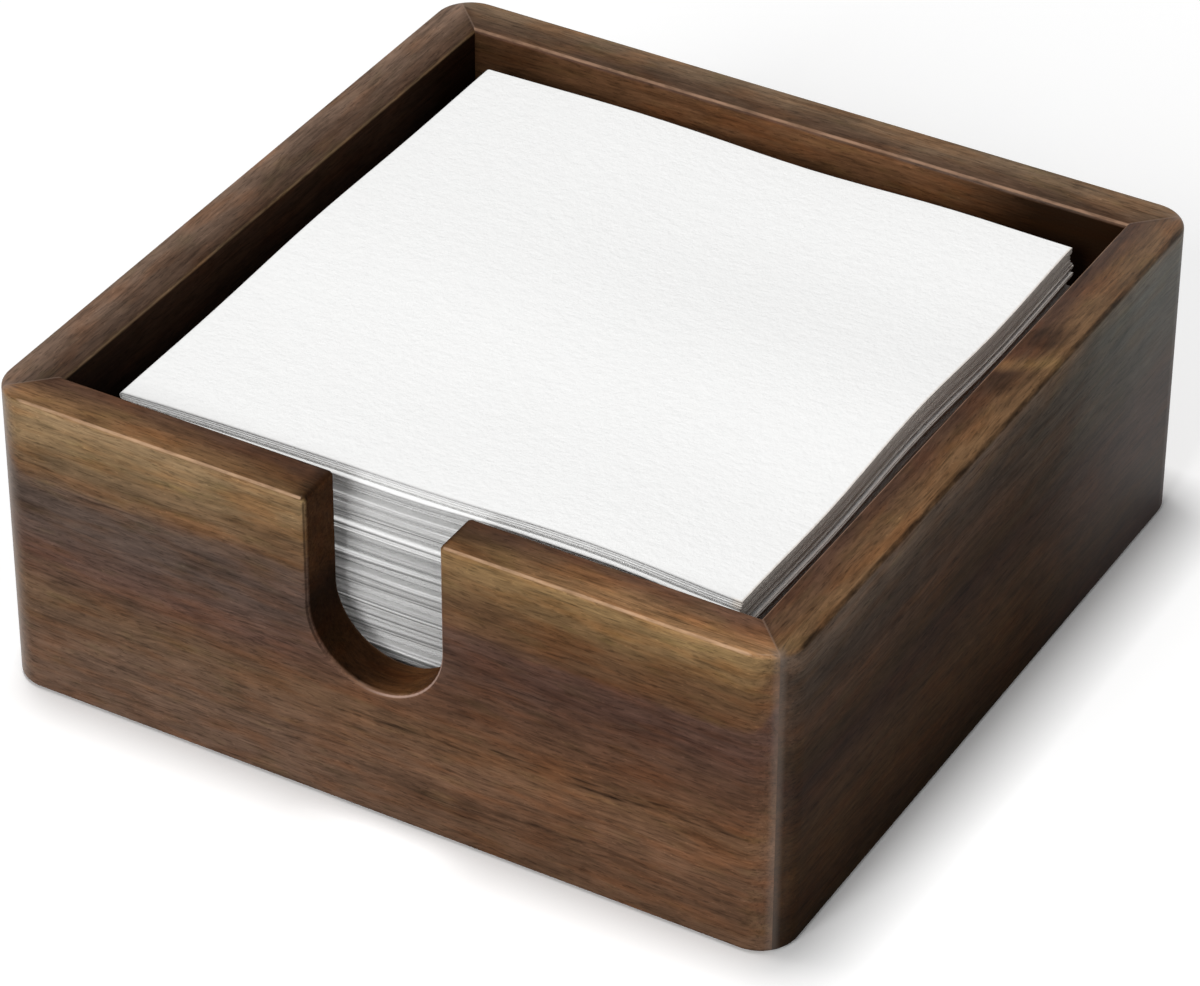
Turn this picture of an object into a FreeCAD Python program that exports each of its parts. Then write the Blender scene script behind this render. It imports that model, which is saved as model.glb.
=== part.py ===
import FreeCAD, Part
import math
import os
import Sketcher

# A square, open-topped wooden tray for folded paper napkins, in millimetres.
#
# Four boards meet in mitres at the corners. A hidden tongue crosses each mitre, and a thin floor panel
# sits in a groove that runs round inside the boards. The front board has a U-shaped thumb notch.
#
# Frame: +Z is up, the tray stands on z = 0 and is centred on x = y = 0. The front board faces -Y.

doc = FreeCAD.newDocument("NapkinHolder")

# ---------------------------------------------------------------------------------------------------
# Driving dimensions
# ---------------------------------------------------------------------------------------------------

DIMENSIONS = [
    ("box_side", 160, "outside length of each side of the tray"),
    ("box_height", 63.5, "height of the boards"),
    ("wall_thick", 10, "thickness of the boards"),
    ("corner_round", 7.5, "outside radius of the four upright corners"),
    ("edge_round", 1, "radius of the eased edges"),
    ("notch_width", 27, "width of the thumb notch, whose foot is a full half circle"),
    ("notch_low", 27.3, "height of the lowest point of the notch"),
    ("panel_thick", 4, "thickness of the floor panel"),
    ("panel_lift", 4, "height of the floor panel's underside"),
    ("groove_depth", 4, "depth of the groove that holds the panel"),
    ("panel_play", 0.3, "room for the panel to swell, at each edge"),
    ("panel_corner", 1, "radius of the panel's corners"),
    ("tongue_thick", 2, "thickness of a corner tongue"),
    ("tongue_width", 8, "width of a tongue, half of it in each board"),
    ("tongue_length", 36, "length of a tongue, upright"),
    ("tongue_low", 14, "height of a tongue's lower end"),
    ("tongue_inset", 5, "distance of a tongue's middle from the inside corner, along the mitre"),
    ("glue_gap", 0.2, "room for glue at a tongue's long edges and top"),
    ("napkin_side", 126, "side of a folded napkin"),
    ("napkin_thick", 1.74, "thickness of a folded napkin at rest in the stack"),
    ("napkin_scatter", 0.5, "how far a napkin may lie from the middle of the stack"),
]

NAPKINS = 30
SCATTER_TURN = 137.5   # degrees between the directions in which one napkin and the next are shifted

sheet = doc.addObject("Spreadsheet::Sheet", "Sizes")
for row, (alias, value, meaning) in enumerate(DIMENSIONS, start=1):
    sheet.set("A%d" % row, alias)
    sheet.set("B%d" % row, str(value))
    sheet.set("C%d" % row, meaning)
    sheet.setAlias("B%d" % row, alias)
doc.recompute()


def size(alias):
    """A driving dimension, as a number."""
    return float(sheet.get(alias))


# Lengths that follow from the driving dimensions, as expressions for the objects below.
OUTER_HALF = "Sizes.box_side / 2"
INNER_HALF = "(Sizes.box_side / 2 - Sizes.wall_thick)"
PANEL_TOP = "(Sizes.panel_lift + Sizes.panel_thick)"
MITRE = "cos(45)"   # share of a length along the mitre that shows in x or in y
TONGUE_MIDDLE = "(%s + Sizes.tongue_inset * %s)" % (INNER_HALF, MITRE)

# ---------------------------------------------------------------------------------------------------
# Helpers for sketches and features
# ---------------------------------------------------------------------------------------------------

START, END, CENTRE = range(1, 4)   # how a sketch numbers the points of a line or an arc
ORIGIN_POINT = (-1, START)         # the sketch's own origin, where its level axis starts


def origin_plane(body, role):
    """One of the body's own origin planes, such as XY_Plane."""
    return next(feature for feature in body.Origin.OriginFeatures if feature.Role == role)


def new_sketch(body, name, role):
    """An empty sketch on one of the body's origin planes."""
    sketch = body.newObject("Sketcher::SketchObject", name)
    sketch.AttachmentSupport = [(origin_plane(body, role), "")]
    sketch.MapMode = "FlatFace"
    return sketch


def line(sketch, start, end):
    """A line between two points, given roughly: the constraints place it."""
    segment = Part.LineSegment(FreeCAD.Vector(*start, 0), FreeCAD.Vector(*end, 0))
    return sketch.addGeometry(segment, False)


def arc(sketch, centre, radius, first, last):
    """An arc drawn anticlockwise from one angle to another, in degrees."""
    circle = Part.Circle(FreeCAD.Vector(*centre, 0), FreeCAD.Vector(0, 0, 1), radius)
    piece = Part.ArcOfCircle(circle, math.radians(first), math.radians(last))
    return sketch.addGeometry(piece, False)


def tie(sketch, *arguments):
    """A constraint with no size, such as Coincident."""
    sketch.addConstraint(Sketcher.Constraint(*arguments))


def dimension(sketch, expression, *arguments):
    """A constraint whose size is the expression's value."""
    value = float(sketch.evalExpression(expression))
    index = sketch.addConstraint(Sketcher.Constraint(*arguments, value))
    sketch.setExpression("Constraints[%d]" % index, expression)


def centred_rectangle(sketch, width, depth):
    """A closed rectangle about the sketch's origin, with its two sides as expressions."""
    corners = [(-1, -1), (1, -1), (1, 1), (-1, 1)]
    sides = [line(sketch, corners[k], corners[(k + 1) % 4]) for k in range(4)]
    for k in range(4):
        tie(sketch, "Coincident", sides[k], END, sides[(k + 1) % 4], START)
    for flat in (sides[0], sides[2]):
        tie(sketch, "Horizontal", flat)
    for upright in (sides[1], sides[3]):
        tie(sketch, "Vertical", upright)
    tie(sketch, "Symmetric", sides[0], START, sides[1], END, *ORIGIN_POINT)
    dimension(sketch, width, "DistanceX", sides[0], START, sides[0], END)
    dimension(sketch, depth, "DistanceY", sides[1], START, sides[1], END)


def pad(body, sketch, length):
    """Raise the sketch along +Z by a length, given as an expression."""
    feature = body.newObject("PartDesign::Pad", sketch.Name + "Pad")
    feature.Profile = sketch
    feature.setExpression("Length", length)
    sketch.Visibility = False
    return feature


def cut_through(body, sketch):
    """Cut the sketch right through the body, both ways from its plane."""
    feature = body.newObject("PartDesign::Pocket", sketch.Name + "Cut")
    feature.Profile = sketch
    feature.Type = "ThroughAll"
    feature.SideType = "Symmetric"
    return feature


def new_body(label):
    """A body whose label names the piece."""
    body = doc.addObject("PartDesign::Body", label)
    body.Label = label
    return body


# ---------------------------------------------------------------------------------------------------
# The four boards
# ---------------------------------------------------------------------------------------------------


def mitred_profile(body):
    """The board seen from above: straight inside, mitred ends, and half of a round corner at each end.

    The board is drawn as the front one, with its outer face towards -Y.
    """
    half = size("box_side") / 2
    inner = half - size("wall_thick")
    radius = size("corner_round")
    centre = half - radius
    corner = centre + radius * math.cos(math.radians(45))

    sketch = new_sketch(body, body.Label + "_plan", "XY_Plane")
    inside = line(sketch, (-inner, -inner), (inner, -inner))
    right_mitre = line(sketch, (inner, -inner), (corner, -corner))
    right_corner = arc(sketch, (centre, -centre), radius, 270, 315)
    outside = line(sketch, (centre, -half), (-centre, -half))
    left_corner = arc(sketch, (-centre, -centre), radius, 225, 270)
    left_mitre = line(sketch, (-corner, -corner), (-inner, -inner))

    tie(sketch, "Coincident", inside, END, right_mitre, START)
    tie(sketch, "Coincident", left_mitre, END, inside, START)
    tie(sketch, "Perpendicular", right_mitre, END, right_corner, END)
    tie(sketch, "Perpendicular", left_mitre, START, left_corner, START)
    tie(sketch, "Tangent", right_corner, START, outside, START)
    tie(sketch, "Tangent", outside, END, left_corner, END)
    tie(sketch, "Horizontal", inside)
    tie(sketch, "Horizontal", outside)
    tie(sketch, "Equal", right_corner, left_corner)
    tie(sketch, "Angle", right_mitre, math.radians(-45))
    tie(sketch, "Angle", left_mitre, math.radians(45))
    dimension(sketch, "Sizes.corner_round", "Radius", right_corner)
    dimension(sketch, INNER_HALF, "DistanceX", inside, START, *ORIGIN_POINT)
    dimension(sketch, INNER_HALF, "DistanceX", *ORIGIN_POINT, inside, END)
    dimension(sketch, INNER_HALF, "DistanceY", inside, END, *ORIGIN_POINT)
    dimension(sketch, OUTER_HALF, "DistanceY", outside, START, *ORIGIN_POINT)
    return sketch


def cut_panel_groove(body):
    """The groove for the floor panel, along the whole inside of the board."""
    inner = size("box_side") / 2 - size("wall_thick")
    deep = inner + size("groove_depth")
    low = size("panel_lift")
    high = low + size("panel_thick")

    sketch = new_sketch(body, body.Label + "_groove", "YZ_Plane")
    corners = [(-deep, low), (-inner, low), (-inner, high), (-deep, high)]
    sides = [line(sketch, corners[k], corners[(k + 1) % 4]) for k in range(4)]
    for k in range(4):
        tie(sketch, "Coincident", sides[k], END, sides[(k + 1) % 4], START)
    for flat in (sides[0], sides[2]):
        tie(sketch, "Horizontal", flat)
    for upright in (sides[1], sides[3]):
        tie(sketch, "Vertical", upright)
    dimension(sketch, INNER_HALF, "DistanceX", sides[0], END, *ORIGIN_POINT)
    dimension(sketch, "Sizes.groove_depth", "DistanceX", sides[0], START, sides[0], END)
    dimension(sketch, "Sizes.panel_lift", "DistanceY", *ORIGIN_POINT, sides[0], START)
    dimension(sketch, "Sizes.panel_thick", "DistanceY", sides[1], START, sides[1], END)
    return cut_through(body, sketch)


def cut_tongue_slots(body):
    """A stopped slot across the mitre at each end of the board, for half of a tongue."""
    sketch = new_sketch(body, body.Label + "_slot", "XY_Plane")
    sketch.AttachmentOffset = FreeCAD.Placement(FreeCAD.Vector(), FreeCAD.Rotation(45, 0, 0))
    sketch.setExpression("AttachmentOffset.Base.x", TONGUE_MIDDLE)
    sketch.setExpression("AttachmentOffset.Base.y", "-" + TONGUE_MIDDLE)
    sketch.setExpression("AttachmentOffset.Base.z", "Sizes.tongue_low")
    centred_rectangle(sketch, "Sizes.tongue_width + 2 * Sizes.glue_gap", "Sizes.tongue_thick")

    slot = body.newObject("PartDesign::Pocket", sketch.Name + "Cut")
    slot.Profile = sketch
    slot.Reversed = True   # upwards from the sketch
    slot.setExpression("Length", "Sizes.tongue_length + Sizes.glue_gap")
    doc.recompute()

    mirror = body.newObject("PartDesign::Mirrored", body.Label + "_slots")
    mirror.Originals = [slot]
    mirror.MirrorPlane = (origin_plane(body, "YZ_Plane"), [""])
    body.Tip = mirror
    return mirror


def cut_thumb_notch(body):
    """The U-shaped notch: two upright sides and a half circle, open at the rim."""
    radius = size("notch_width") / 2
    middle = size("notch_low") + radius
    rim = size("box_height")

    sketch = new_sketch(body, body.Label + "_notch", "XZ_Plane")
    foot = arc(sketch, (0, middle), radius, 180, 360)
    right = line(sketch, (radius, middle), (radius, rim))
    top = line(sketch, (radius, rim), (-radius, rim))
    left = line(sketch, (-radius, rim), (-radius, middle))
    tie(sketch, "Tangent", foot, END, right, START)
    tie(sketch, "Coincident", right, END, top, START)
    tie(sketch, "Coincident", top, END, left, START)
    tie(sketch, "Tangent", left, END, foot, START)
    tie(sketch, "Vertical", right)
    tie(sketch, "Vertical", left)
    tie(sketch, "Horizontal", top)
    tie(sketch, "Vertical", *ORIGIN_POINT, foot, CENTRE)
    dimension(sketch, "Sizes.notch_width / 2", "Radius", foot)
    dimension(sketch, "Sizes.notch_low + Sizes.notch_width / 2", "DistanceY", *ORIGIN_POINT, foot, CENTRE)
    dimension(sketch, "Sizes.box_height", "DistanceY", *ORIGIN_POINT, top, START)
    return cut_through(body, sketch)


def same(first, second):
    """Whether two lengths are the same, within a thousandth of a millimetre."""
    return abs(first - second) < 0.001


def is_eased(edge):
    """Whether a hand would feel this edge of a board, so that it is rounded over.

    These are the edges round the rim, the outer edge at the foot and both rims of the thumb notch. The
    edges that meet another board at a mitre stay sharp.
    """
    half = size("box_side") / 2
    inner = half - size("wall_thick")
    box = edge.BoundBox
    middle = edge.valueAt((edge.FirstParameter + edge.LastParameter) / 2)
    on_mitre = same(abs(middle.x), abs(middle.y))
    level = same(box.ZMin, box.ZMax)
    on_rim = level and same(box.ZMin, size("box_height"))
    on_foot = level and same(box.ZMin, 0) and not same(middle.y, -inner)
    across_a_face = same(box.YMin, box.YMax) and (same(box.YMin, -half) or same(box.YMin, -inner))
    round_notch = across_a_face and not level and box.XMax - box.XMin < size("box_side") / 2
    in_notch = round_notch and abs(middle.x) < size("notch_width") / 2 + 0.001
    return (on_rim or on_foot or in_notch) and not on_mitre


def ease_edges(body):
    """Round over every edge of the board that a hand would feel."""
    doc.recompute()
    sharp = body.Tip
    names = ["Edge%d" % (k + 1) for k, edge in enumerate(sharp.Shape.Edges) if is_eased(edge)]
    rounding = body.newObject("PartDesign::Fillet", body.Label + "_rounding")
    rounding.Base = (sharp, names)
    rounding.setExpression("Radius", "Sizes.edge_round")
    return rounding


def make_board(label, quarter_turns, notched):
    """One board, made as the front one and turned to its own side of the tray."""
    body = new_body(label)
    pad(body, mitred_profile(body), "Sizes.box_height")
    cut_panel_groove(body)
    cut_tongue_slots(body)
    if notched:
        cut_thumb_notch(body)
    ease_edges(body)
    body.Placement = FreeCAD.Placement(FreeCAD.Vector(), FreeCAD.Rotation(90 * quarter_turns, 0, 0))
    return body


BOARDS = ["front_wall", "right_wall", "back_wall", "left_wall"]
boards = [make_board(label, turns, turns == 0) for turns, label in enumerate(BOARDS)]

# ---------------------------------------------------------------------------------------------------
# The floor panel and the corner tongues
# ---------------------------------------------------------------------------------------------------


def make_panel():
    """The square floor panel, held by the groove in all four boards."""
    body = new_body("base_panel")
    plan = new_sketch(body, "base_panel_plan", "XY_Plane")
    side = "2 * (%s + Sizes.groove_depth - Sizes.panel_play)" % INNER_HALF
    centred_rectangle(plan, side, side)
    square = pad(body, plan, "Sizes.panel_thick")
    doc.recompute()

    upright = [
        "Edge%d" % (k + 1)
        for k, edge in enumerate(square.Shape.Edges)
        if edge.BoundBox.ZMax - edge.BoundBox.ZMin > size("panel_thick") / 2
    ]
    corners = body.newObject("PartDesign::Fillet", "base_panel_corners")
    corners.Base = (square, upright)
    corners.setExpression("Radius", "Sizes.panel_corner")
    body.setExpression("Placement.Base.z", "Sizes.panel_lift")
    return body


def make_tongue(label, quarter_turns):
    """A thin upright tongue across one mitre, turned round the tray from the front right corner."""
    body = new_body(label)
    plan = new_sketch(body, label + "_plan", "XY_Plane")
    centred_rectangle(plan, "Sizes.tongue_width", "Sizes.tongue_thick")
    pad(body, plan, "Sizes.tongue_length")

    # The front right corner lies towards +X -Y, and each quarter turn moves on to the next corner.
    towards_x, towards_y = [("", "-"), ("", ""), ("-", ""), ("-", "-")][quarter_turns]
    body.Placement = FreeCAD.Placement(FreeCAD.Vector(), FreeCAD.Rotation(45 + 90 * quarter_turns, 0, 0))
    body.setExpression("Placement.Base.x", towards_x + TONGUE_MIDDLE)
    body.setExpression("Placement.Base.y", towards_y + TONGUE_MIDDLE)
    body.setExpression("Placement.Base.z", "Sizes.tongue_low")
    return body


CORNERS = ["front_right", "back_right", "back_left", "front_left"]
panel = make_panel()
tongues = [make_tongue("corner_spline_" + corner, turns) for turns, corner in enumerate(CORNERS)]

# ---------------------------------------------------------------------------------------------------
# The stack of folded napkins
# ---------------------------------------------------------------------------------------------------


def make_napkin(index):
    """One folded napkin as a flat square block, lying on the one below it.

    Each one is shifted a little from the middle, in a direction that turns from one to the next.
    """
    napkin = doc.addObject("Part::Box", "napkin_%02d" % (index + 1))
    for edge, alias in (("Length", "napkin_side"), ("Width", "napkin_side"), ("Height", "napkin_thick")):
        napkin.setExpression(edge, "Sizes." + alias)
    angle = index * SCATTER_TURN % 360
    shift = "-Sizes.napkin_side / 2 + Sizes.napkin_scatter * %s(%g)"
    napkin.setExpression("Placement.Base.x", shift % ("cos", angle))
    napkin.setExpression("Placement.Base.y", shift % ("sin", angle))
    napkin.setExpression("Placement.Base.z", "%s + %d * Sizes.napkin_thick" % (PANEL_TOP, index))
    return napkin


napkins = [make_napkin(index) for index in range(NAPKINS)]

# ---------------------------------------------------------------------------------------------------
# Check every object, then write each piece to a file of its own
# ---------------------------------------------------------------------------------------------------

doc.recompute()
pieces = boards + [panel] + tongues + napkins

for item in doc.Objects:
    if "Invalid" in item.State or "Error" in item.State:
        raise RuntimeError("%s has failed: %s" % (item.Label, item.State))
for piece in pieces:
    if piece.Shape.isNull() or not piece.Shape.isValid():
        raise RuntimeError("%s has no valid shape" % piece.Label)
    if len(piece.Shape.Solids) != 1:
        raise RuntimeError("%s is not one solid" % piece.Label)

os.makedirs("parts", exist_ok=True)
for piece in pieces:
    piece.Shape.exportStep("parts/%s.step" % piece.Label)
    box = piece.Shape.BoundBox
    print("%-30s %8.2f mm3  z %.2f to %.2f" % (piece.Label, piece.Shape.Volume, box.ZMin, box.ZMax))
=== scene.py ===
# %% [markdown]
# # A napkin tray in dark walnut, filled with folded napkins
# The tray is four mitred boards round a thin floor panel, with a thumb notch cut in the front board.
# Thirty square napkins lie in it, each one a sheet of tissue folded twice.
# The boards and the floor arrive as solids with their true size, so this lesson only finishes their wood.
# The napkins arrive as plain slabs, and each slab is replaced by a real folded sheet.
# Everything is in metres: X to the right, Y to the back, Z up, and the origin under the middle of the tray.

import bpy
import numpy as np
from mathutils import Matrix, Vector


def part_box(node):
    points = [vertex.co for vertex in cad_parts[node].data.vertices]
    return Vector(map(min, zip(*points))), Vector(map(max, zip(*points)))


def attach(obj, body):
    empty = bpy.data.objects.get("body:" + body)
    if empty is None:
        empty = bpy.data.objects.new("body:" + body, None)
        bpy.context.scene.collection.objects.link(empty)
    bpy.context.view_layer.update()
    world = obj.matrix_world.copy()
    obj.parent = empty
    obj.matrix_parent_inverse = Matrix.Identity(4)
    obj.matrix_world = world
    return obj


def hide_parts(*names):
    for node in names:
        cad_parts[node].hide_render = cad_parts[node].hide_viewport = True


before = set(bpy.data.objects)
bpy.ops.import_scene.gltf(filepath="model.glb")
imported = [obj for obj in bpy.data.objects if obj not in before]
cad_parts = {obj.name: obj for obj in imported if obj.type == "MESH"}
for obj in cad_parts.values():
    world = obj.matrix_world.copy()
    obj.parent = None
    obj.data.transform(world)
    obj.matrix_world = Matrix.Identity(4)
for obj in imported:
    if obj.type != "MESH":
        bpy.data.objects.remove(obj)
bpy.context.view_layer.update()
MM = 0.001

# %% [markdown]
# ## The camera
# A long lens a metre away, looking down over the right front corner, keeps the boards' edges nearly parallel.
# The direction is written as two angles and a small roll, so it can be read and changed by hand.
# The three axes of the camera are then worked out from them and set as the columns of its matrix.

# %% Place the camera
SENSOR = 36.0
LENS = 157.83
EYE = (0.3939, -0.6878, 0.5842)
turn, rise, roll = np.radians([29.87, 35.42, 0.28])

back = np.array([np.sin(turn) * np.cos(rise), -np.cos(turn) * np.cos(rise), np.sin(rise)])
level = np.array([np.cos(turn), np.sin(turn), 0.0])
upright = np.cross(back, level)
side = np.cos(roll) * level + np.sin(roll) * upright
top = np.cos(roll) * upright - np.sin(roll) * level

lens = bpy.data.cameras.new("camera")
lens.sensor_width = SENSOR
lens.lens = LENS
lens.clip_start = 0.01
lens.clip_end = 50.0
camera = bpy.data.objects.new("camera", lens)
pose = np.eye(4)
pose[:3, 0], pose[:3, 1], pose[:3, 2], pose[:3, 3] = side, top, back, EYE
camera.matrix_world = Matrix(pose.tolist())
bpy.context.scene.collection.objects.link(camera)
bpy.context.scene.camera = camera
print("camera", EYE, "lens", LENS)

# %% [markdown]
# ## Writing a material as sums
# A finish such as wood grain is a sum of many small patterns, and a long chain of nodes is hard to read.
# So one class wraps a node's socket: adding or multiplying two of them adds the Math node that does it.
# Every other node comes from one method, which takes its type, its settings and what goes into its sockets.

# %% A socket that can be added and multiplied
class Value:
    """One output socket of a node; each operator adds a Math node to the same tree."""

    def __init__(self, bench, socket):
        self.bench = bench
        self.socket = socket

    def math(self, operation, *others):
        values = dict(enumerate((self, *others)))
        return self.bench.node("Math", {"operation": operation}, values)

    def __add__(self, other):
        return self.math("ADD", other)

    def __radd__(self, other):
        return self.math("ADD", other)

    def __sub__(self, other):
        return self.math("SUBTRACT", other)

    def __rsub__(self, other):
        return self.bench.node("Math", {"operation": "SUBTRACT"}, {0: other, 1: self})

    def __mul__(self, other):
        return self.math("MULTIPLY", other)

    def __rmul__(self, other):
        return self.math("MULTIPLY", other)

    def __truediv__(self, other):
        return self.math("DIVIDE", other)

    def __abs__(self):
        return self.math("ABSOLUTE")

    def step(self, low, high):
        """0 below low, 1 above high, and a soft S between; with low above high it falls instead."""
        flip = low > high
        ends = {0: self, 1: min(low, high), 2: max(low, high)}
        soft = self.bench.node("MapRange", {"interpolation_type": "SMOOTHSTEP"}, ends)
        return 1 - soft if flip else soft


# %% A tree to put nodes in
class Bench:
    """One node tree, with one way to add any node to it."""

    def __init__(self, tree):
        self.tree = tree
        tree.nodes.clear()

    def node(self, kind, settings=None, sockets=None, out=0):
        """Adds a node: its settings first, then the values or links of its sockets."""
        made = self.tree.nodes.new("ShaderNode" + kind)
        for key, setting in (settings or {}).items():
            if key == "stops":
                self.stops(made.color_ramp, setting)
            else:
                setattr(made, key, setting)
        for key, given in (sockets or {}).items():
            if isinstance(given, Value):
                self.tree.links.new(given.socket, made.inputs[key])
            else:
                made.inputs[key].default_value = given
        return Value(self, made.outputs[out]) if len(made.outputs) else made

    def stops(self, ramp, stops):
        """Puts (position, colour) stops on a colour ramp."""
        while len(ramp.elements) > 1:
            ramp.elements.remove(ramp.elements[-1])
        for k, (position, colour) in enumerate(stops):
            stop = ramp.elements[0] if k == 0 else ramp.elements.new(position)
            stop.position = position
            stop.color = colour

    def join(self, x, y, z):
        return self.node("CombineXYZ", None, {0: x, 1: y, 2: z})

    def noise(self, x, y, z, detail=2.0, rough=0.5):
        """Soft noise about 0, from about -0.5 to 0.5; one unit of x, y or z is one lump."""
        sockets = {"Vector": self.join(x, y, z), "Scale": 1.0, "Detail": detail, "Roughness": rough}
        return self.node("TexNoise", None, sockets) - 0.5

    def mix(self, share, first, second, blend="MIX"):
        """first where share is 0, second where it is 1."""
        settings = {"data_type": "RGBA", "blend_type": blend}
        return self.node("Mix", settings, {0: share, 6: first, 7: second}, out=2)

    def place(self):
        """Object coordinates in millimetres, as three values."""
        whole = self.node("TexCoord", None, None, out="Object")
        parts = [self.node("SeparateXYZ", None, {0: whole}, out=k) for k in range(3)]
        return [part / MM for part in parts]

    def looked_at(self):
        """1 for what the camera or a reflection sees, 0 for the light that a surface sends to others."""
        kinds = ("Is Camera Ray", "Is Glossy Ray", "Is Transmission Ray")
        camera, glossy, through = [self.node("LightPath", None, None, out=kind) for kind in kinds]
        return camera.math("MAXIMUM", glossy).math("MAXIMUM", through)


def paint(code):
    """The linear colour of a six-digit sRGB code."""
    parts = np.array([int(code[k : k + 2], 16) for k in (0, 2, 4)]) / 255
    linear = np.where(parts <= 0.04045, parts / 12.92, ((parts + 0.055) / 1.055) ** 2.4)
    return (*[float(v) for v in linear], 1.0)


def finish_of(name):
    """A new material with an empty bench."""
    material = bpy.data.materials.new(name)
    material.use_nodes = True
    return material, Bench(material.node_tree)


# %% [markdown]
# ## Walnut
# A walnut board is cut from a log, so its pattern is a slice through long, slightly wavy layers.
# The layers are a height that wanders slowly along the board. Colour ramps read at that height give the
# broad figure, and two ramps are used, one for each end, because real boards change from end to end.
# Streaks, fibres and short dark pores are noise stretched many times along the grain.
# All of it is worked out in the solid's own space, so the figure runs over the rounded edges as in timber.

# %% Layers of colour
LOW, SPAN = -10.0, 80.0


def layers(*stops):
    """Colour ramp stops from (height in mm, sRGB code) pairs."""
    return [((height - LOW) / SPAN, paint(code)) for height, code in stops]


# %% A board's own directions
HALF_SIDE = 80.0
WALL = 10.0
TOP = 63.5


def board_space(bench, board):
    """Millimetres along the board, in from its outer face, up, and away from the mitre, which is where x and
    y are as large as each other; 0.707 turns their difference into a distance."""
    x, y, z = bench.place()
    ax, ay = board["along"]
    dx, dy = board["inward"]
    along = x * ax + y * ay
    depth = x * dx + y * dy + HALF_SIDE
    mitre = abs(abs(x) - abs(y)) * 0.707
    return along, depth, z, mitre


# %% [markdown]
# ## Veins, a swirl and the faces of a board
# A few growth lines stand out darker than the rest, and where a branch began the grain turns in a swirl.
# Each is a distance to a line: dark where the distance is small, and faded at its ends.
# A board's rim, inner face and notch cut the same layers at other angles, so they get tones of their own,
# chosen by the place on the solid. Its rounded edges get painted highlights and painted shade, chosen the
# same way.

# %% Veins and a swirl
def vein(bench, along, z, line):
    """A dark growth line, in dashes: its strength where z is close to a sloping, ragged line, between the two
    ends. line is (height, slope, start, end, width, strength)."""
    height, slope, start, end, width, strength = line
    wander = bench.noise(along / 22 + height, 0.0, z / 9, 2.0) * 2.2
    gap = abs(z - along * slope - height + wander)
    inside = along.step(start, start + 18) * along.step(end, end - 18)
    dashes = bench.noise(along / 8 + height, 0.0, z / 1.5, 2.0).step(-0.10, 0.08)
    return gap.step(width, width * 0.2) * inside * dashes * strength


def swirl(bench, along, depth, start):
    """The figure where a branch began, seen on the rim: a dark lobe and a dark band across the grain, and a
    thin pale streak between them. Gives the dark share and the pale share."""
    slant = along - start + depth * 0.55 + bench.noise(along / 8, depth / 5, 0.0, 2.0) * 3.0
    lobe = abs(slant - 2.5).step(6.5, 2.0) * depth.step(2.0, 6.5)
    band = abs(slant - 18.5).step(5.5, 1.5) * depth.step(0.5, 4.0)
    streak = abs(slant - 9.0).step(3.6, 0.0)
    return (lobe + band).math("MINIMUM", 1.0), streak


# %% Each face of a board
RIM = (62.5, 63.3)
BELOW_RIM = (62.9, 62.2)
INSIDE = (9.2, 9.9)
SWIRL_DARK, SWIRL_PALE = paint("35261d"), paint("8a6b48")
CUT_LIGHT, CUT_SHADED = paint("4a2f1a"), paint("26160a")


def inner_face(board, depth, z):
    """1 on the board's inner face below the rim, for a board that is joined to others."""
    return depth.step(*INSIDE) * z.step(*BELOW_RIM) * board["joined"]


def face_tones(bench, board, along, depth, z, waves):
    """The faces that cut the layers at other angles: (where, colour) for the rim, the inner face and the
    notch, whose wall gets painted shade towards its lower left."""
    across = (depth + waves).step(1.0, 9.0)
    rim_colour = bench.mix(across, paint(board["rim"][0]), paint(board["rim"][1]))
    if "swirl" in board:
        dark, pale = swirl(bench, along, depth, board["swirl"])
        rim_colour = bench.mix(dark * 0.7, rim_colour, SWIRL_DARK)
        rim_colour = bench.mix(pale * 0.4, rim_colour, SWIRL_PALE)
    hollow = inner_face(board, depth, z)
    cut = abs(along).step(15.0, 13.6) * depth.step(0.3, 1.2) * depth.step(9.9, 9.0) * z.step(22.0, 25.0)
    cut = cut * board["notched"]
    # painted shade: the notch wall is darkened towards its lower left, where the notch shades it
    low = along.step(6.0, -5.0) * z.step(50.0, 41.0)
    cut_colour = bench.mix(low, CUT_LIGHT, CUT_SHADED)
    return [(z.step(*RIM), rim_colour), (hollow, paint(board["hollow"])), (cut, cut_colour)]


# %% Each edge of a board
NOTCH_RADIUS, NOTCH_CENTRE = 13.5, 40.8
NOTCH_HIGHLIGHT, NOTCH_SHADE = paint("c4a698"), paint("1f140c")


def edge_tones(bench, board, along, depth, z):
    """The rounded edges, with painted highlights and painted shade: (where, colour) for the outer and the
    inner one along the rim, and the one round the notch, pale on its right and dark on its left, whose middle
    is as far from its U as it is deep."""
    patches = bench.noise(along / 6 + board["seed"], depth, 0.0, 3.0, 0.6).step(-0.25, 0.2) * 0.7 + 0.3
    outer = (depth + TOP - z).step(board["round"], 0.59)
    inner = (WALL + TOP - depth - z).step(0.69, 0.59)
    below = (NOTCH_CENTRE - z).math("MAXIMUM", 0.0)
    notch_gap = (along * along + below * below).math("SQRT") - NOTCH_RADIUS
    arris = (notch_gap + depth).step(0.65, 0.58) * z.step(63.0, 62.0) * z.step(24.0, 26.0)
    lit_arris = arris * along.step(-5.0, 4.0) * board["notched"]
    shaded_arris = arris * along.step(-8.0, -12.0) * board["notched"]
    # painted highlights and painted shade: each board's own pale or dark rim edges, and the notch's edge pale
    # where it faces the light and dark on its left
    return [
        (outer * patches * board["edges"][0], paint(board["edges"][1])),
        (inner * patches * board["edges"][2], paint(board["edges"][3])),
        (lit_arris * 0.6, NOTCH_HIGHLIGHT),
        (shaded_arris * 0.65, NOTCH_SHADE),
    ]
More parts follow.
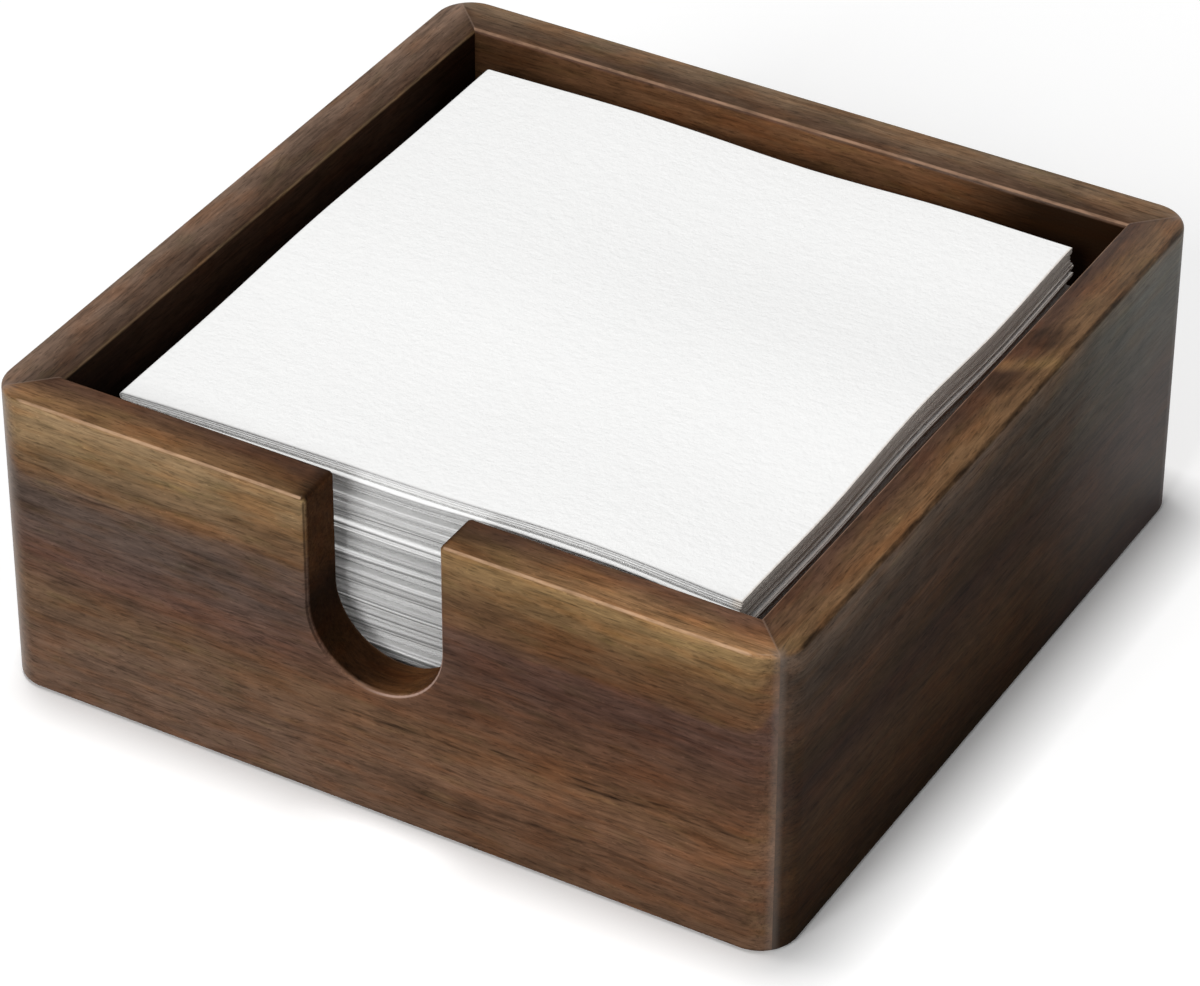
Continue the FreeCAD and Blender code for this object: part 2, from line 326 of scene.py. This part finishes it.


# %% [markdown]
# ## One wood out of many patterns
# The broad figure comes first, then the fine grain as a tone that multiplies it, and then the places: the
# rim, painted shade on the inner face and in the inner corners, the mitre lines, and painted highlights on
# the corners and edges.
# Each part is a function of the same four distances, so a reader can leave one out and see what it did.

# %% The broad figure
def broad_figure(bench, board, along, depth, z):
    """The ramps read at a wavy height, height = z - tilt * along - dip * depth + sway, with the near ramp
    turning into the far one along the board, and the faces that cut the layers laid over them."""
    seed = board["seed"]
    sway = bench.noise(along / 70 + seed, depth / 30, z / 40, 1.0) * board["sway"]
    ragged = bench.noise(along / 14 + seed, depth / 3.2, z / 2.6 + 7.0, 3.0, 0.62) * 4.0
    height = z - along * board["tilt"] - depth * board["dip"] + sway + ragged
    share = (height - LOW) / SPAN
    near = bench.node("ValToRGB", {"stops": board["near"]}, {0: share})
    far = bench.node("ValToRGB", {"stops": board["far"]}, {0: share})
    change = (along + bench.noise(along / 18, depth / 9 + seed, z / 12) * 40).step(*board["change"])
    figure = bench.mix(change, near, far)

    waves = ragged * 0.8 + bench.noise(along / 20 + seed, depth / 9, 0.0, 1.0) * 5.0
    for where, tint in face_tones(bench, board, along, depth, z, waves):
        figure = bench.mix(where, figure, tint)
    return figure


# %% The fine grain
def fine_grain(bench, board, along, depth, z):
    """Noise stretched along the board: tone = 1 + streaks + fibres + clouds, darkened by pores, growth lines
    and veins, and dotted with pale specks. Gives the tone, and the three patterns that the relief needs."""
    seed = board["seed"]
    wave = bench.noise(along / 33 + seed, depth / 8, z / 8, 1.0) * 3.0
    inner, up = depth + wave, z + wave
    streak = bench.noise(along / 22 + seed, inner / 1.5, up / 1.5, 4.0, 0.66)
    fibre = bench.noise(along / 5 + seed, inner / 0.55, up / 0.55, 3.0, 0.62)
    cloud = bench.noise(along / 11 + seed, depth / 5, z / 5 + 3.0, 3.0, 0.6)
    pore = bench.noise(along / 2.4 + seed, inner / 0.34, up / 0.34, 2.0, 0.5).step(0.05, 0.20)
    speck = bench.noise(along / 1.1, depth / 0.5 + seed, z / 0.5, 1.0, 0.4).step(0.16, 0.26)
    growth = bench.noise(along / 40 + seed, inner / 0.8, up / 0.8, 3.0, 0.7).step(0.07, 0.18)

    tone = 1 + streak * 1.3 + fibre * 1.2 + cloud
    tone = tone * (1 - pore * 0.32) * (1 + speck * 0.28) * (1 - growth * 0.28)
    for line in board["veins"]:
        tone = tone * (1 - vein(bench, along, z, line))
    return tone, streak, fibre, pore


# %% Light and dark places
DARKEST = 0.12


def places(board, along, depth, z, mitre):
    """What the place does to the tone, as a product of (1 - share): the rim's change from end to end, darker
    in its middle near the notch and lighter at its ends, painted shade on the rim's corner just left of the
    notch, painted shade on the inner face below the rim, in its corners and towards one end, and the mitre
    line."""
    rim = z.step(*RIM)
    # painted shade: the rim is darkened at its corner just left of the notch
    notch_corner_shade = along.step(-17.5, -14.5) * along.step(-12.0, -13.4) * 0.35
    rim_dip = abs(along).step(52.0, 18.0) * 0.55 - 0.22 + notch_corner_shade
    light = (1 + along * rim * board["slope"]) * (1 - rim_dip * rim * board["notched"])
    hollow = inner_face(board, depth, z)
    corner = mitre.step(26.0, 3.0) * 0.55
    # painted shade: the inner face is darkened below the rim, into its corners, and on the back board towards
    # its right end
    light = light * (1 - hollow * z.step(60.5, 50.0) * 0.5)
    light = light * (1 - hollow * corner) * (1 - hollow * along.step(*board["shade"]) * 0.85)
    return light * (1 - mitre.step(1.3, 0.2) * z.step(62.2, 62.9) * 0.14)


# %% A walnut board
GREENISH = (0.90, 1.0, 0.82, 1)
MITRE_HIGHLIGHT, CORNER_HIGHLIGHT, CORNER_SHEEN = paint("8f7a6c"), paint("9a8c82"), paint("b8a391")


def walnut(name, board):
    """The figure times the tone, with warm and greenish patches, a painted highlight on the rim's mitres,
    down each joined corner and on the left front corner, and the edges' painted highlights and shade over it.
    """
    material, bench = finish_of(name)
    along, depth, z, mitre = board_space(bench, board)
    seed = board["seed"]
    figure = broad_figure(bench, board, along, depth, z)
    tone, streak, fibre, pore = fine_grain(bench, board, along, depth, z)
    tone = (tone * places(board, along, depth, z, mitre)).math("MAXIMUM", DARKEST)

    colour = bench.mix(1.0, figure, bench.join(tone, tone, tone), "MULTIPLY")
    warm = (bench.noise(along / 15 + seed, depth / 4 + 4.0, z / 3, 3.0) * 2.4).step(-0.2, 0.5)
    colour = bench.mix(warm * 0.7, colour, bench.mix(1.0, colour, board["warm"], "MULTIPLY"))
    green = (bench.noise(along / 9 + seed, depth / 4, z / 2.6 + 9.0, 3.0) * 2.4).step(0.0, 0.6)
    colour = bench.mix(green * 0.5, colour, bench.mix(1.0, colour, GREENISH, "MULTIPLY"))
    # painted highlight: a pale line along each mitre on the rim
    rim_mitre_highlight = mitre.step(0.26, 0.08) * z.step(62.8, 63.3)
    colour = bench.mix(rim_mitre_highlight * 0.25, colour, MITRE_HIGHLIGHT)
    # painted highlight: a soft pale stripe down each joined corner
    corner_highlight = mitre.step(1.7, 0.1) * depth.step(4.0, 2.0) * board["joined"]
    colour = bench.mix(corner_highlight * 0.24, colour, CORNER_HIGHLIGHT)
    # painted sheen: the front board's left front corner is paled below the rim
    left_corner_sheen = along.step(-73.0, -79.0) * z.step(62.8, 61.0) * board["notched"]
    colour = bench.mix(left_corner_sheen * 0.35, colour, CORNER_SHEEN)
    for where, tint in edge_tones(bench, board, along, depth, z):
        colour = bench.mix(where, colour, tint)

    rough = 0.46 + streak * 0.10 + pore * 0.2
    relief = fibre * 0.6 - pore * 0.9 + streak * 0.4
    bump = bench.node("Bump", None, {"Strength": 0.4, "Distance": 0.00012, "Height": relief})
    rubbed = mitre.step(4.5, 0.5) * depth.step(5.0, 2.5)
    wax = along.step(*board["waxed"]) * board["wax"] + rubbed * 0.15 + 0.06
    sockets = {"Base Color": colour, "Roughness": rough, "Normal": bump, "Coat Weight": wax}
    sockets |= {"Specular IOR Level": 0.0, "Coat Roughness": 0.3}
    shader = bench.node("BsdfPrincipled", None, sockets)
    bench.node("OutputMaterial", None, {"Surface": shader})
    return material


# %% [markdown]
# ## The four boards
# The front board has a tan band of younger wood along its top, a purple-grey line under it and red-brown
# heartwood below. The right board is darker heartwood, with a swirl on its rim where a branch began.
# The back and left boards come from the same two planks, so they use the same layers from another place.
# Each board is a table of values. along and inward point down its length and into it, and tilt, dip and sway
# bend its layers. near and far are its two ramps, and change says between which millimetres one turns into
# the other. rim and hollow colour its rim and inner face, and edges gives a strength and a colour of painted
# highlight or painted shade for the outer and for the inner edge. shade says where its inner face gets
# painted shade, and waxed says where its coat thickens.

# %% Colours of the two planks
TAN_LEFT = layers(
    (2, "725a4b"), (12, "735b4b"), (22, "715844"), (30, "694f44"), (38, "605048"), (44, "63534a"),
    (47.3, "6e594b"), (48.8, "7c6048"), (52, "7d654c"), (58, "937959"), (63, "a58967"),
)
TAN_RIGHT = layers(
    (2, "684e3c"), (9, "6c4f3c"), (17, "785944"), (22, "75563f"), (28, "684a37"), (36, "5e4436"),
    (42, "5b4238"), (46.5, "5e453a"), (48.3, "694c37"), (54, "6b4f37"), (62, "9b7d56"),
)
DARK_NEAR = layers(
    (2, "2c1e11"), (8, "362313"), (16, "422d1a"), (26, "463222"), (35, "3b2a21"), (40, "413021"),
    (46, "543e2f"), (53, "4a3c32"), (57.5, "524439"), (62, "705e50"),
)
DARK_FAR = layers(
    (2, "2e1e18"), (12, "392a1d"), (24, "47362d"), (34, "4b3e36"), (42, "524c43"), (50, "57544c"),
    (57, "5f5d54"), (62, "766957"),
)

# %% Where each board lies
NOWHERE = (900, 901)
FRONT = {
    "along": (1, 0), "inward": (0, 1), "seed": 0.0, "tilt": -0.005, "dip": 3.2, "sway": 5.0, "notched": 1.0,
    "near": TAN_LEFT, "far": TAN_RIGHT, "change": (-50, 40), "warm": (1.12, 0.9, 0.72, 1),
    "veins": [
        (21.0, 0.045, -25, 82, 0.45, 0.55), (22.6, 0.045, 10, 80, 0.30, 0.50),
        (10.0, 0.020, 10, 82, 0.70, 0.40), (22.5, 0.045, 15, 82, 2.20, 0.22),
        (9.0, 0.020, -5, 80, 2.60, 0.25), (41.0, -0.01, 5, 74, 2.60, 0.18),
        (28.0, 0.020, -80, -15, 2.20, 0.16),
    ],
    "waxed": (-73, -78), "wax": 0.3, "rim": ("785a3e", "533c2f"), "hollow": "50341f", "slope": 0.0026,
    "joined": 1.0, "shade": NOWHERE,
    "edges": (0.65, "d3ae8e", 0.25, "a8876d"), "round": 0.69,
}
RIGHT = {
    "along": (0, 1), "inward": (-1, 0), "seed": 11.0, "tilt": 0.02, "dip": 1.6, "sway": 8.0, "notched": 0.0,
    "near": DARK_NEAR, "far": DARK_FAR, "change": (-5, 62), "warm": (1.15, 0.92, 0.74, 1),
    "veins": [], "swirl": 13.2, "joined": 1.0, "shade": NOWHERE,
    "waxed": (10, 78), "wax": 0.30, "rim": ("6a5038", "4a352a"), "hollow": "75492c", "slope": -0.001,
    "edges": (0.9, "1a120b", 0.5, "b9957b"), "round": 0.90,
}
BACK = dict(FRONT, along=(-1, 0), inward=(0, -1), seed=23.0, notched=0.0, dip=2.2, sway=8.0)
BACK |= {"wax": 0.0, "slope": 0.0, "rim": ("735f4c", "503d30"), "hollow": "77543a", "shade": (-24, -56)}
BACK["edges"] = (0.15, "a08773", 0.6, "b9947a")
LEFT = dict(RIGHT, along=(0, -1), inward=(1, 0), seed=37.0, wax=0.05, dip=1.0, veins=[])
LEFT |= {"near": TAN_LEFT, "far": TAN_LEFT, "rim": ("745f51", "4a392e"), "hollow": "35241a"}
LEFT |= {"edges": (0.15, "a08773", 0.4, "2a1d15"), "round": 0.69}
LEFT.pop("swirl")
BOARDS = {"front_wall": FRONT, "right_wall": RIGHT, "back_wall": BACK, "left_wall": LEFT}


def dress(node, material):
    """Gives a solid from the frame its finish, in place of the plain colour that it came with."""
    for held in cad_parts[node].material_slots:
        held.material = material


for node, board in BOARDS.items():
    dress(node, walnut("walnut_" + node, board))
print("boards finished", len(BOARDS))

# %% [markdown]
# ## The floor panel and the corner splines
# The floor is a thin panel let into a groove, with its grain from front to back.
# The splines are small tongues of paler wood hidden in the mitres, and show only where a corner is opened.

# %% Panel and splines
PANEL = dict(LEFT, seed=51.0, tilt=0.0, dip=0.0, sway=6.0, veins=[], joined=0.0)
PANEL["near"] = layers((0, "4d3527"), (8, "5a4030"))
PANEL["far"] = layers((0, "5a3f2d"), (8, "503a2c"))
dress("base_panel", walnut("walnut_panel", PANEL))

TONGUE = dict(FRONT, seed=63.0, notched=0.0, dip=0.4, sway=2.0, veins=[], joined=0.0)
TONGUE["near"] = TONGUE["far"] = layers((10, "a98560"), (35, "b8936a"), (60, "9d7a56"))
pale_wood = walnut("tongue_wood", TONGUE)
CORNERS = ("front_right", "back_right", "back_left", "front_left")
for corner in CORNERS:
    dress("corner_spline_" + corner, pale_wood)
print("panel and", len(CORNERS), "splines finished")

# %% [markdown]
# ## Napkin paper
# Table napkins are two or three plies of soft white tissue, pressed with a fine linen-like emboss.
# The colour is nearly even. What the eye reads is the emboss, so it goes into a bump, with a trace of tone.
# Where a sheet was cut, painted shade shows its plies as thin grey lines, and a painted brown tint stands for
# the light that comes to the right-hand edges off the wood. Two marks on the mesh's points say where: cut is
# 1 along the sheet's border, and shade is how much painted shade that border gets, which differs from layer
# to layer.

# %% The paper
WHITE = 0.865
WARM_LIGHT = (0.90, 0.79, 0.68, 1)


def tissue(name):
    """White tissue: crossed rows of fine lumps, as a bump and a slight change of tone, times the painted
    shade of the cut borders, except on the right-hand side, where they get a painted brown tint of light off
    the wood instead."""
    material, bench = finish_of(name)
    x, y, z = bench.place()
    warp = bench.noise(x / 1.9, y / 3.1, z / 2.0, 2.0, 0.6)
    weft = bench.noise(x / 4.2 + 9.0, y / 1.4, z / 2.0, 2.0, 0.6)
    lumps = bench.noise(x / 0.8, y / 0.8, z / 0.8, 2.0, 0.6)
    press = warp + weft * 0.7 + lumps * 0.8
    soft = bench.noise(x / 30, y / 26, z / 9, 1.0)
    tone = WHITE + press * 0.03 + soft * 0.012
    cut = bench.node("Attribute", {"attribute_name": "cut"}, None, out="Fac")
    shade = bench.node("Attribute", {"attribute_name": "shade"}, None, out="Fac")
    plies = bench.noise(x / 45, y / 45, z / 0.30, 2.0, 0.6).step(-0.10, 0.30)
    aside = x.step(60.0, 62.0)
    # painted shade on the cut borders, broken into fine lines along the plies, and mostly left off on the
    # right-hand side
    shade = shade * (1 - aside * 0.9)
    tone = tone * (1 - shade * 0.60) * (1 - shade * plies * 0.18)
    colour = bench.join(tone, tone, tone * 0.993)
    # painted light: a brown tint on the right-hand cut borders for light off the wood
    warmed = bench.mix(1.0, colour, WARM_LIGHT, "MULTIPLY")
    colour = bench.mix(cut * aside * 0.6, colour, warmed)
    bump = bench.node("Bump", None, {"Strength": 0.45, "Distance": 0.0004, "Height": press})
    sockets = {"Base Color": colour, "Roughness": 0.92, "Specular IOR Level": 0.25, "Normal": bump}
    bench.node("OutputMaterial", None, {"Surface": bench.node("BsdfPrincipled", None, sockets)})
    return material


paper = tissue("napkin_paper")
print("paper", len(paper.node_tree.nodes), "nodes")

# %% [markdown]
# ## Folding a napkin
# A napkin is a square sheet, folded in half to the back and then in half to the left.
# So the back edge shows two small loops, the left edge one fat loop, and the front and right edges four loose
# layers. The fold is worked out for a whole grid of points at once: first the small roll, then the large roll
# round it. All lengths are in millimetres until the mesh is made.

# %% The fold
SHEET = 252.0
EDGE = SHEET / 4
SKIN = 0.33
SMALL, LARGE = 0.19, 0.38
BORDER = 0.5


def rulings(radius):
    """Places along the sheet from edge to edge: fine round the fold at 0, coarse where it is flat, and with a
    narrow border of half a millimetre at each end, which carries the marks of the cut."""
    arc = np.pi / 2 * radius
    bend = np.linspace(-arc, arc, 9)
    near = arc + np.array([0.4, 1.6, 4.5])
    far = np.linspace(arc + 9.0, SHEET / 2, 20)
    out = np.concatenate([near, far[:-1], [SHEET / 2 - BORDER, SHEET / 2]])
    return np.concatenate([-out[::-1], bend, out])


def rolled(distance, radius):
    """A line bent half round a cylinder at 0: how far it runs on past the bend, and its turn, from -90 to 90
    degrees."""
    turned = np.clip(distance / radius, -np.pi / 2, np.pi / 2)
    straight = np.abs(distance) - np.pi / 2 * radius
    return np.maximum(straight, 0.0), turned


U, V = np.meshgrid(rulings(LARGE), rulings(SMALL), indexing="ij")
print("sheet grid", U.shape)


def folded(skew, offsets, stretch, curl):
    """Sheet to folded napkin: v rolls round the small radius, then u rolls that pair round the large one.
    skew swings the lower flap about the back left corner. offsets stretch the four loose layers a little
    unevenly, and stretch moves all of them, to the front and to the right. curl lifts the loose edges of the
    top layer, with the square of the way from 100 mm to the cut."""
    run, turned = rolled(V, SMALL)
    y = EDGE - SMALL * (1 - np.cos(turned)) - run
    lift = SMALL * np.sin(turned)
    run, turned = rolled(U, LARGE)
    reach = LARGE + SMALL
    x = reach - EDGE - (LARGE + lift) * np.cos(turned) + run
    z = (LARGE + lift) * np.sin(turned)
    loose_x, loose_y = (x + EDGE) / (2 * EDGE), (EDGE - y) / (2 * EDGE)
    lower, inner = np.clip(-U / 6, 0, 1), np.clip(-V / 6, 0, 1)
    ahead = lower * offsets[0] + inner * offsets[1] + lower * inner * offsets[2]
    aside = lower * offsets[3] + inner * offsets[4] + lower * inner * offsets[5]
    ahead = ahead * (0.5 + 0.5 * loose_x)
    y = y - skew * lower * (x + EDGE) - (ahead + stretch[0]) * loose_y
    x = x + (aside + stretch[1]) * loose_x
    rise = np.clip((np.maximum(U, V) - 100) / 26, 0, 1) ** 2 * np.clip(U / 30, 0, 1) * np.clip(V / 30, 0, 1)
    return x, y, z + curl * rise


# %% [markdown]
# ## Stacking the napkins
# The napkins rest on each other, so they share one slow swell, which grows from the flat floor to the top.
# Each one is a little out of line with the next and a little more or less pressed, which gives the uneven
# edges. The lower ones reach further forward, in a fan, because a stack leans when it is pushed in by hand.

# %% The shared swell
SWELL = [
    (1, 1, -0.44), (0, 4, 0.36), (0, 2, -0.27), (4, 0, -0.26), (3, 1, 0.20), (1, 4, -0.19), (2, 1, -0.16),
]
DROOP = 0.7
PITCH = 1.74
REST = 8.0
COUNT = 30


def swell(x, y):
    """A sum of cosines over the square, each (waves across, waves back, height in mm), less a droop of the
    two front corners, which goes with the cube of the way from the middle and of the way from the back."""
    right = np.clip((x + EDGE) / (2 * EDGE), 0, 1)
    behind = np.clip((y + EDGE) / (2 * EDGE), 0, 1)
    waves = sum(h * np.cos(m * np.pi * right) * np.cos(n * np.pi * behind) for m, n, h in SWELL)
    return waves - DROOP * abs(2 * right - 1) ** 3 * (1 - behind) ** 3


# %% How one napkin differs from the next
NEAT = 5
TOP_OFFSETS = [0.4, 0.1, -0.2, 0.0, 0.0, 0.0]
# painted shade on the top napkin's four cut borders: most on its top layer, none on its lowest
TOP_SHADES = [0.34, 0.16, 0.0, 0.05]
TOP_STRETCH, TOP_CURL = (0.3, -0.2), 0.1


def differences(k, rng):
    """What sets napkin k apart: small random values for its turn, skew, thickness, layers and waves, and how
    much painted shade each layer's cut border gets, with one of the four much darker. The next few under the
    top are neat at the front, and the top one has values of its own."""
    twist, skew = rng.normal(0, [0.0020, 0.0030])
    press = rng.uniform(0.82, 0.94)
    stretch = rng.uniform([-0.3, -0.9], [0.3, -0.2])
    wave, phase = rng.uniform(28, 60), rng.uniform(0, 6.28, 4)
    offsets = rng.normal(0, 0.17, 6)
    # painted shade on the cut borders: one layer of four gets much more, a dark line between napkins
    shades = rng.uniform(0.02, 0.26, 4)
    shades[rng.integers(0, 4)] = rng.uniform(0.5, 1.0)
    curl = 0.0
    if k > COUNT - NEAT:
        stretch = (0.0, rng.uniform(-0.35, -0.15))
    if k == COUNT:
        twist, skew, offsets = 0.0, 0.0, TOP_OFFSETS
        stretch, curl, shades = TOP_STRETCH, TOP_CURL, np.array(TOP_SHADES)
    return (twist, skew, press, stretch, wave, phase, offsets, curl), shades


# %% Where a napkin's points lie
FAN_START, FAN_STEP, FAN_MOST = 0.8, 0.28, 3.4


def laid(k, own):
    """Napkin k's points in mm: the folded sheet with its front edges fanned forward, a little turned, shifted
    and pressed, and laid on the swell, which grows with the 1.5th power of the way up the stack."""
    twist, skew, press, stretch, wave, phase, offsets, curl = own
    fan = 0.0 if k == COUNT else min(FAN_START + FAN_STEP * (COUNT - k), FAN_MOST)
    x, y, z = folded(skew, offsets, (stretch[0] + fan, stretch[1]), curl)
    y = y + 0.12 * np.sin(x / wave * 6.28 + phase[0])
    low, high = (np.array(corner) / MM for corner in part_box(f"napkin_{k:02d}"))
    shift = np.zeros(3) if k == COUNT else (low + high) / 2
    x, y = x - twist * y + shift[0], y + twist * x + shift[1]
    z = z * (press + 0.04 * np.sin(x / 23 + phase[1]) * np.sin(y / 31 + phase[2]))
    grow = (k / COUNT) ** 1.5
    lay = REST + PITCH * (k - 0.5) + swell(x, y) * grow
    lay = lay + 0.04 * np.sin(x / 17 + phase[3])
    return np.stack([x, y, z + lay], axis=-1)


# %% A grid of points as a mesh
def grid_mesh(name, points, marks):
    """One four-sided face between each point and the next ones along the grid's rows and columns, and each
    mark as one number per point."""
    rows, columns = U.shape
    index = np.arange(rows * columns).reshape(rows, columns)
    corners = [index[:-1, :-1], index[1:, :-1], index[1:, 1:], index[:-1, 1:]]
    faces = np.stack(corners, axis=-1).reshape(-1, 4)
    mesh = bpy.data.meshes.new(name)
    mesh.from_pydata(points.reshape(-1, 3) * MM, [], faces.tolist())
    mesh.polygons.foreach_set("use_smooth", np.ones(len(faces), bool))
    for mark, value in marks.items():
        held = mesh.attributes.new(mark, "FLOAT", "POINT")
        held.data.foreach_set("value", value.astype(np.float32).ravel())
    return mesh


# %% Make the thirty napkins
def napkin(k, rng):
    """Napkin k: its sheet as a mesh, with the border marked as cut, and a skin of the paper's thickness."""
    name = f"napkin_{k:02d}"
    own, shades = differences(k, rng)
    border = np.maximum(abs(U), abs(V)) > SHEET / 2 - BORDER / 2
    layer = (U < 0) * 2 + (V < 0)
    marks = {"cut": border * 1.0, "shade": border * shades[layer]}
    mesh = grid_mesh("folded_" + name, laid(k, own), marks)
    mesh.materials.append(paper)
    piece = bpy.data.objects.new("folded_" + name, mesh)
    bpy.context.scene.collection.objects.link(piece)
    skin = piece.modifiers.new("thickness", "SOLIDIFY")
    skin.thickness = SKIN * MM
    skin.offset = 0.0
    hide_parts(name)
    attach(piece, "top_napkin" if k == COUNT else "napkin_stack")
    return piece


rng = np.random.default_rng(7)
for k in range(1, COUNT + 1):
    piece = napkin(k, rng)

# %% [markdown]
# ## The table and the light
# The tray stands on a plain pale table that runs out of sight, so it shows only the tray's own shadow.
# The table's white is lifted only where the camera or a reflection sees it, which puts no extra light on the
# tray, and the white room round it works in the same way.
# Three soft square lamps do the rest: one almost overhead, a lower one from the front that lights the notched
# board, and a weak one from the right. Each is given by its angles and by how much it lights a surface.

# %% The table's finish
LIT, SEEN, LIFT = [(level, level, level, 1) for level in (0.45, 0.95, 0.12)]


def table_top(name):
    """A pale diffuse table, LIT, for the light that it sends back to the tray. The camera and reflections see
    a whiter one, SEEN plus LIFT: two diffuse layers, added, because one alone can't be whiter than white."""
    material, bench = finish_of(name)
    plain = bench.node("BsdfDiffuse", None, {"Color": LIT})
    white = bench.node("BsdfDiffuse", None, {"Color": SEEN})
    more = bench.node("BsdfDiffuse", None, {"Color": LIFT})
    bright = bench.node("AddShader", None, {0: white, 1: more})
    surface = bench.node("MixShader", None, {0: bench.looked_at(), 1: plain, 2: bright})
    bench.node("OutputMaterial", None, {"Surface": surface})
    return material


# %% The table
HALF = 4.0
DROP = -0.0001
mesh = bpy.data.meshes.new("table")
corners = [(-HALF, -HALF, DROP), (HALF, -HALF, DROP), (HALF, HALF, DROP), (-HALF, HALF, DROP)]
mesh.from_pydata(corners, [], [(0, 1, 2, 3)])
mesh.materials.append(table_top("table_white"))
table = bpy.data.objects.new("table", mesh)
bpy.context.scene.collection.objects.link(table)
print("table", 2 * HALF, "m wide,", DROP / MM, "mm up")

# %% The room
ROOM = 0.18
world = bpy.data.worlds.new("room")
world.use_nodes = True
bpy.context.scene.world = world
bench = Bench(world.node_tree)
strength = bench.looked_at() * (1 - ROOM) + ROOM
air = bench.node("Background", None, {"Color": (1, 1, 1, 1), "Strength": strength})
bench.node("OutputWorld", None, {"Surface": air})
print("room light", ROOM)


# %% The lamps
def lamp(name, aside, behind, away, size, share):
    """A square soft lamp, aside and behind degrees from overhead, away and size in metres. share is the light
    that it puts on a surface facing it, where 1 shows a colour as it is written."""
    light = bpy.data.lights.new(name, "AREA")
    light.size = size
    light.energy = share * (np.pi * away) ** 2
    towards = np.array([np.tan(np.radians(aside)), np.tan(np.radians(behind)), 1.0])
    towards /= np.linalg.norm(towards)
    across = np.cross([0.0, 1.0, 0.0], towards)
    across /= np.linalg.norm(across)
    holder = bpy.data.objects.new(name, light)
    turned = np.eye(4)
    turned[:3, 0], turned[:3, 1], turned[:3, 2] = across, np.cross(towards, across), towards
    turned[:3, 3] = towards * away
    holder.matrix_world = Matrix(turned.tolist())
    bpy.context.scene.collection.objects.link(holder)
    print(name, "at", np.round(towards * away, 2), "watts", round(light.energy, 1))


lamp("overhead_lamp", -5.0, 0.9, 2.5, 0.54, 0.59)
lamp("front_lamp", -2.0, -60, 2.0, 0.8, 0.41)
lamp("side_lamp", 47, -48, 2.0, 0.8, 0.14)

# %% [markdown]
# ## Last lines
# The view is set to show colours as they are written.

# %% Finish
bpy.context.scene.view_settings.view_transform = "Standard"
